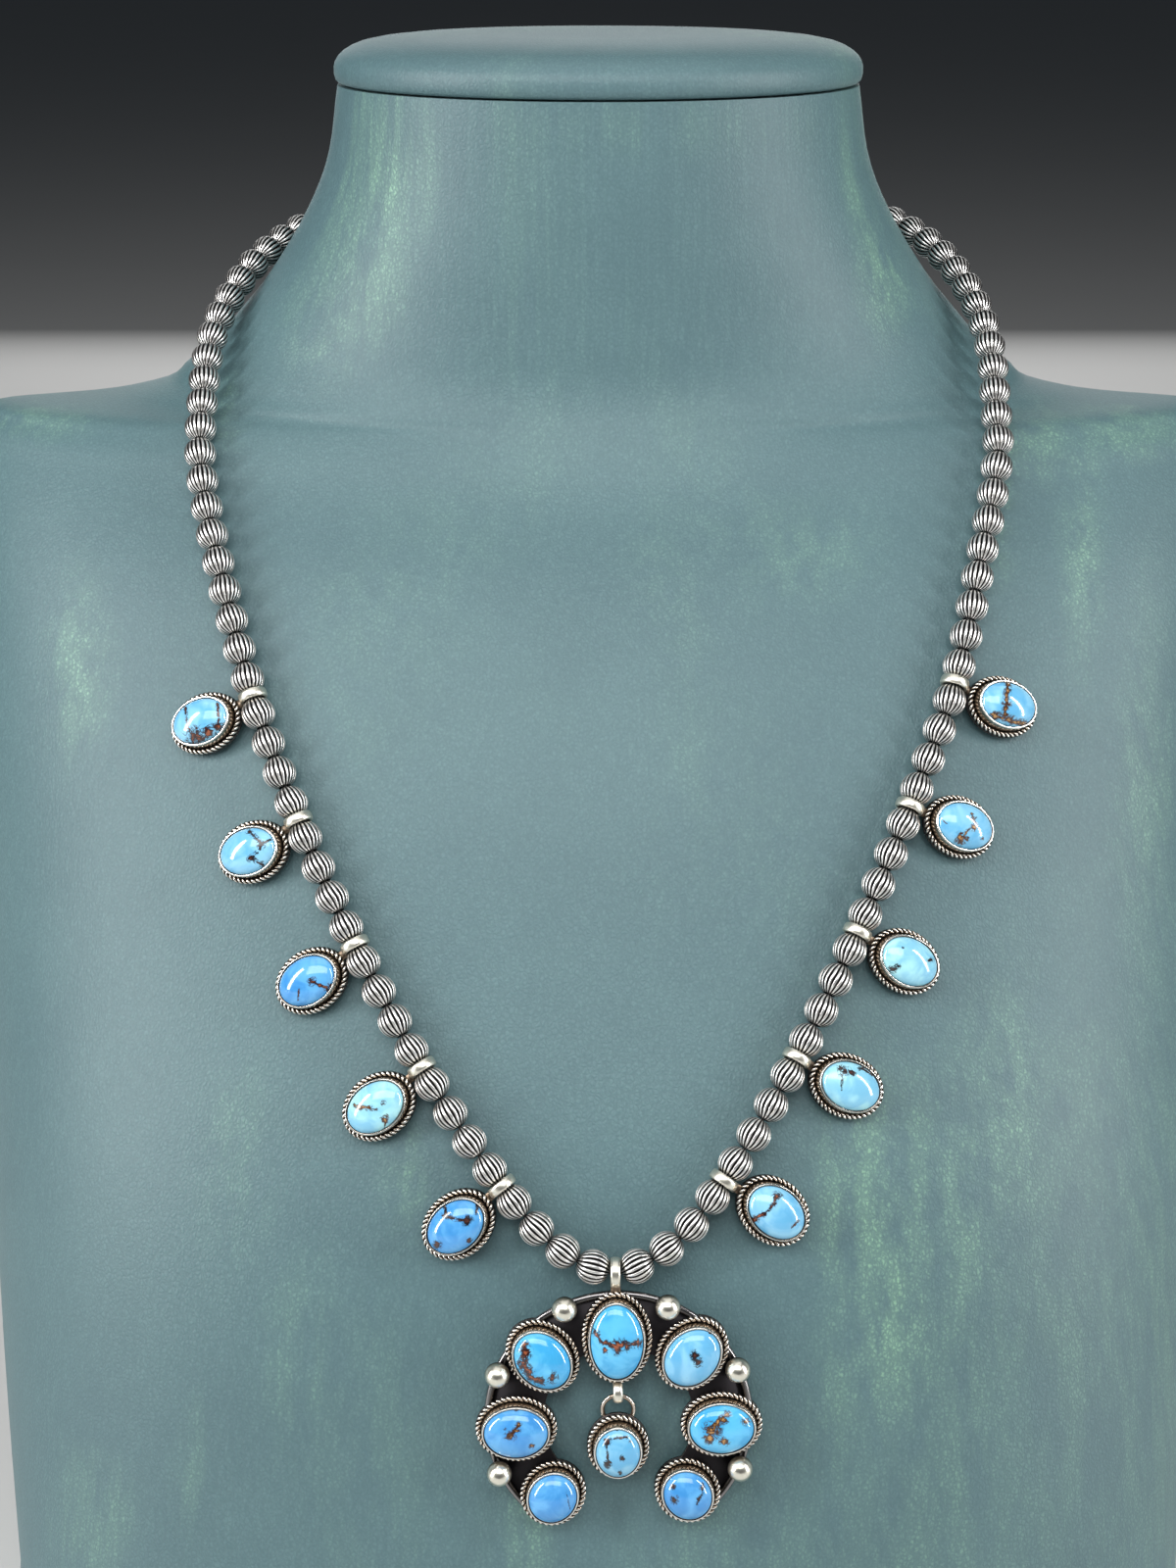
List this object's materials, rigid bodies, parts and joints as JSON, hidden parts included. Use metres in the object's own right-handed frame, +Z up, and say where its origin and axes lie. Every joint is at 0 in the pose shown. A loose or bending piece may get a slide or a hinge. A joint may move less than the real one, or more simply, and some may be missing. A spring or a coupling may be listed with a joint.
{
  "type": "squash blossom necklace on neck bust",
  "caption": "Silver bead necklace with turquoise side drops and a crescent pendant, lying on a plain padded neck bust with a flat base.",
  "frame": {"origin": "on the flat underside of the bust, under the middle of its base", "axes": "+Z up, -Y out of the chest towards the viewer, +X to the viewer's right"},
  "size_m": [0.2462, 0.2004, 0.3133],
  "materials": {
    "bust_cover": "satin grey-teal pebbled leather cloth with upright brushed streaks",
    "antique_silver": "polished silver, blackened in its grooves",
    "turquoise": "polished opaque blue stone with sparse brown veins",
    "thread": "dark matt thread"
  },
  "bodies": {
    "stand": {"bust_body": "bust_cover", "neck_cap": "bust_cover", "thread": "thread", "beads_left": "antique_silver", "beads_right": "antique_silver", "clasp": "antique_silver", "drop_left_1": "antique_silver", "drop_left_2": "antique_silver", "drop_left_3": "antique_silver", "drop_left_4": "antique_silver", "drop_left_5": "antique_silver", "drop_right_1": "antique_silver", "drop_right_2": "antique_silver", "drop_right_3": "antique_silver", "drop_right_4": "antique_silver", "drop_right_5": "antique_silver", "drop_stone_left_1": "turquoise", "drop_stone_left_2": "turquoise", "drop_stone_left_3": "turquoise", "drop_stone_left_4": "turquoise", "drop_stone_left_5": "turquoise", "drop_stone_right_1": "turquoise", "drop_stone_right_2": "turquoise", "drop_stone_right_3": "turquoise", "drop_stone_right_4": "turquoise", "drop_stone_right_5": "turquoise"},
    "naja": {"naja": "antique_silver", "naja_stone_top": "turquoise", "naja_stone_upper_left": "turquoise", "naja_stone_upper_right": "turquoise", "naja_stone_middle_left": "turquoise", "naja_stone_middle_right": "turquoise", "naja_stone_lower_left": "turquoise", "naja_stone_lower_right": "turquoise", "dangle": "antique_silver", "dangle_stone": "turquoise"}
  },
  "joints": [
    {"name": "naja_swing", "type": "hinge", "parent": "stand", "child": "naja", "pos_m": [0.00266, -0.05328, 0.11891], "axis": [-1, 0, 0], "range_deg": [0, 75]}
  ]
}
